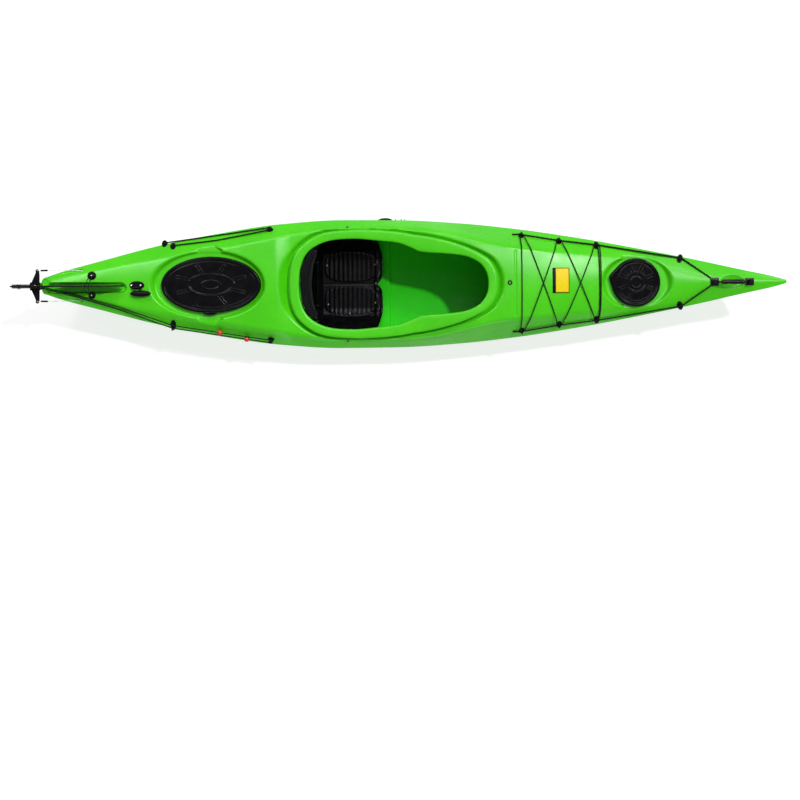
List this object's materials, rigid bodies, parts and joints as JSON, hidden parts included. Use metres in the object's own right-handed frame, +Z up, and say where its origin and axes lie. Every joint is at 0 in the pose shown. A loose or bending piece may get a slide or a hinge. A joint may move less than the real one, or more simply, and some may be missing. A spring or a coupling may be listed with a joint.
{
  "type": "sit-in touring kayak",
  "caption": "Hard-shell sit-in touring kayak with sealed hatches, moulded seat, foot braces, deck rigging and a foot-steered rudder folded onto the stern deck.",
  "frame": {"origin": "on the flat keel panel, on the centreline, half way along the hull", "axes": "+X to the bow, +Y to port, +Z up"},
  "size_m": [3.8618, 0.668, 0.4058],
  "materials": {
    "hull": "satin moulded",
    "hatch_cover": "semi-gloss moulded",
    "foam": "matt closed-cell foam",
    "black_plastic": "moulded",
    "padding": "padded cloth",
    "steel": "satin",
    "rail": "moulded, with steel bolts",
    "rudder_plastic": "semi-gloss moulded",
    "steel_wire": "stranded wire",
    "cord": "braided",
    "red_plastic": "gloss",
    "rubber": "matt"
  },
  "bodies": {
    "boat": {"hull_stern": "hull", "hull_cockpit": "hull", "hull_fore": "hull", "hull_bow": "hull", "stern_bulkhead": "foam", "bow_bulkhead": "foam", "seat_pan": "black_plastic", "backrest_rod": "steel", "foot_brace_rail_port": "rail", "foot_brace_rail_starboard": "rail", "rudder_pin": "steel", "rudder_cable_port": "steel_wire", "rudder_cable_starboard": "steel_wire", "lift_line": "cord", "lift_pad_eye": "black_plastic", "lift_end_post": "black_plastic", "park_eye_1": "black_plastic", "park_eye_2": "black_plastic", "park_end_post": "black_plastic", "paddle_park_cord": "cord", "hold_down_port": "black_plastic", "hold_down_starboard": "black_plastic", "hold_down_cord": "cord", "toggle_fitting": "black_plastic", "handle_tab_aft": "black_plastic", "handle_tab_fore": "black_plastic", "side_fitting": "black_plastic", "deck_plug": "rubber", "grab_line_port": "cord", "grab_line_starboard": "cord", "lacing_cord": "cord", "seat_hanger_port": "black_plastic", "seat_bolt_port": "steel", "pad_eye_port_1": "black_plastic", "pad_eye_port_2": "black_plastic", "pad_eye_port_3": "black_plastic", "pad_eye_port_4": "black_plastic", "seat_hanger_starboard": "black_plastic", "seat_bolt_starboard": "steel", "pad_eye_starboard_1": "black_plastic", "pad_eye_starboard_2": "black_plastic", "pad_eye_starboard_3": "black_plastic", "pad_eye_starboard_4": "black_plastic"},
    "rudder_head": {"rudder_housing": "rudder_plastic", "rudder_yoke": "rudder_plastic", "blade_pivot_bolt": "steel", "cable_sleeve_port": "black_plastic", "cable_sleeve_starboard": "black_plastic"},
    "blade": {"rudder_blade": "rudder_plastic"},
    "ball_inboard": {"lift_ball_inboard": "red_plastic"},
    "ball_outboard": {"lift_ball_outboard": "red_plastic"},
    "pedal_port": {"foot_pedal_port": "black_plastic"},
    "pedal_starboard": {"foot_pedal_starboard": "black_plastic"},
    "stern_cover": {"stern_hatch_cover": "hatch_cover"},
    "bow_cover": {"bow_hatch_cover": "hatch_cover"},
    "back_band": {"backrest": "padding"},
    "toggle": {"toggle_grip": "black_plastic", "toggle_loop": "cord"},
    "handle": {"bow_handle": "rubber"}
  },
  "joints": [
    {"name": "rudder_steer", "type": "hinge", "parent": "boat", "child": "rudder_head", "pos_m": [-1.885, -0.002, 0.29], "axis": [0, 0, 1], "range_deg": [-2, 0.5], "deforming": ["rudder_cable_port", "rudder_cable_starboard", "lift_line", "hold_down_cord"]},
    {"name": "blade_flip", "type": "hinge", "parent": "rudder_head", "child": "blade", "pos_m": [-1.954, -0.002, 0.363], "axis": [0, -1, 0], "range_deg": [0, 255], "deforming": ["lift_line", "hold_down_cord"]},
    {"name": "lift_ball_inboard_slide", "type": "slide", "parent": "boat", "child": "ball_inboard", "axis": [0.9876, -0.1566, -0.0129], "range_m": [-0.0955, 0]},
    {"name": "lift_ball_outboard_slide", "type": "slide", "parent": "boat", "child": "ball_outboard", "axis": [0.9882, -0.1521, -0.0174], "range_m": [0, 0.0955]},
    {"name": "pedal_port_slide", "type": "slide", "parent": "boat", "child": "pedal_port", "axis": [0.9883, -0.1528, 0], "range_m": [-0.15, 0.15]},
    {"name": "pedal_starboard_slide", "type": "slide", "parent": "boat", "child": "pedal_starboard", "axis": [0.9883, 0.1528, 0], "range_m": [-0.15, 0.15]},
    {"name": "stern_cover_lift", "type": "slide", "parent": "boat", "child": "stern_cover", "axis": [0, 0, 1], "range_m": [0, 0.15]},
    {"name": "bow_cover_lift", "type": "slide", "parent": "boat", "child": "bow_cover", "axis": [0, 0, 1], "range_m": [0, 0.15]},
    {"name": "backrest_fold", "type": "hinge", "parent": "boat", "child": "back_band", "pos_m": [-0.535, 0, 0.104], "axis": [0, 1, 0], "range_deg": [0, 45]},
    {"name": "toggle_swing", "type": "hinge", "parent": "boat", "child": "toggle", "pos_m": [-1.3875, -0.0115, 0.2988], "axis": [-1, 0, 0.0059], "range_deg": [0, 80]},
    {"name": "bow_handle_swing", "type": "hinge", "parent": "boat", "child": "handle", "pos_m": [1.5082, 0, 0.3354], "axis": [0.9984, 0, 0.056], "range_deg": [-50, 50]}
  ],
  "couplings": [
    {"joint": "lift_ball_inboard_slide", "follows": "blade_flip", "m_per_rad": -0.0213},
    {"joint": "lift_ball_outboard_slide", "follows": "blade_flip", "m_per_rad": 0.0213}
  ]
}
